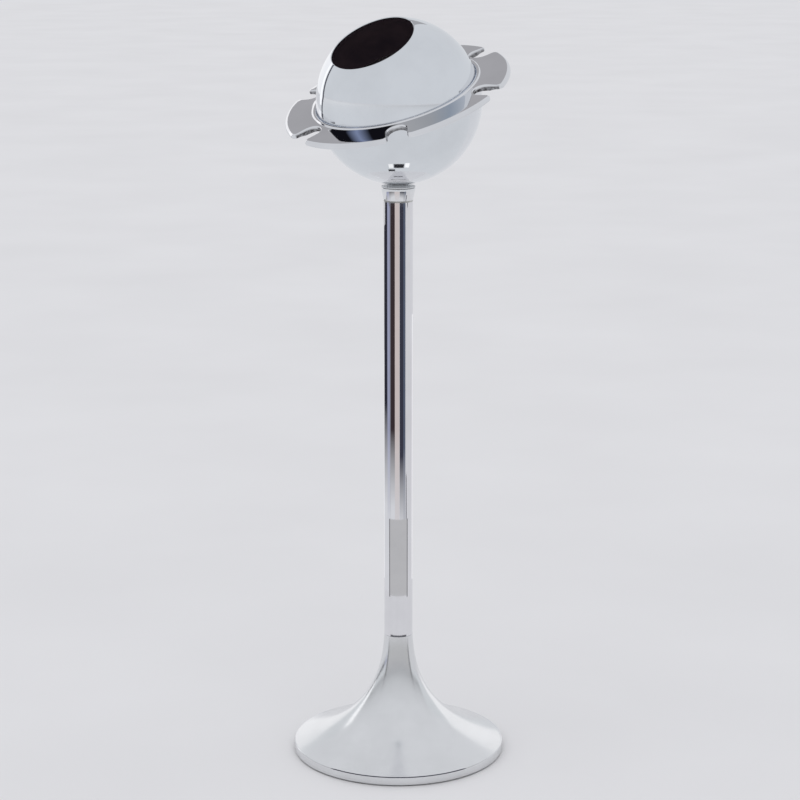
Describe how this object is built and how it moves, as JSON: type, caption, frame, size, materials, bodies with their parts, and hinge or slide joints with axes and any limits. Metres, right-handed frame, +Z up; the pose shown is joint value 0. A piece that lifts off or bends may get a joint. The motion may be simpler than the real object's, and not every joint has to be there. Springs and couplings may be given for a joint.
{
  "type": "standing ball ashtray",
  "caption": "Floor-standing ashtray: polished hollow ball with a round mouth, rolling in a bowl with a six-petal ring, on a tube column with a weighted trumpet base.",
  "frame": {"origin": "centre of the base's underside, on the column's axis", "axes": "+Z up along the column; the viewing side is -Y; +X to the right from that side"},
  "size_m": [0.1893, 0.1881, 0.6474],
  "materials": {
    "chrome_base": "polished chrome on spun steel",
    "chrome_tube": "polished chrome on drawn tube",
    "chrome_cap": "polished chrome on turned steel",
    "chrome_ball": "polished chrome on spun steel",
    "chrome_ring": "polished chrome on pressed steel",
    "throat_strip": "soft blue-gray plastic",
    "black_liner": "blackened steel with a film of ash",
    "zinc_steel": "bright zinc plate",
    "cast_iron": "as cast",
    "felt": "pressed felt",
    "nylon": "natural nylon",
    "magnet": "sintered ferrite"
  },
  "bodies": {
    "stand": {"base_pad": "felt", "base_plate": "zinc_steel", "ballast": "cast_iron", "base_shell": "chrome_base", "tie_rod": "zinc_steel", "base_washer": "zinc_steel", "base_nut": "zinc_steel", "foot_plug": "zinc_steel", "column_tube": "chrome_tube", "top_plug": "zinc_steel", "collar": "chrome_cap", "thrust_washer": "nylon", "seat_screw": "zinc_steel"},
    "seat": {"seat_cup": "chrome_cap", "spring_washer": "zinc_steel", "seat_magnet": "magnet"},
    "head": {"bowl": "chrome_ball", "glide_ring": "throat_strip", "rest_ring": "chrome_ring", "ring_studs": "zinc_steel", "ring_nuts": "zinc_steel"},
    "ball": {"ball_dome": "chrome_ball", "ball_base": "chrome_ball", "ball_band": "zinc_steel", "ash_liner": "black_liner"}
  },
  "joints": [
    {"name": "seat_swivel", "type": "hinge", "parent": "stand", "child": "seat", "pos_m": [0, 0, 0.5], "axis": [0, 0, 1], "continuous": true},
    {"name": "head_tilt", "type": "hinge", "parent": "seat", "child": "head", "pos_m": [0, 0, 0.578], "axis": [0.7314, -0.682, 0], "range_deg": [-21.5, 23.5]},
    {"name": "ball_roll", "type": "hinge", "parent": "head", "child": "ball", "pos_m": [0, 0, 0.578], "axis": [0.7314, -0.682, 0], "continuous": true}
  ]
}
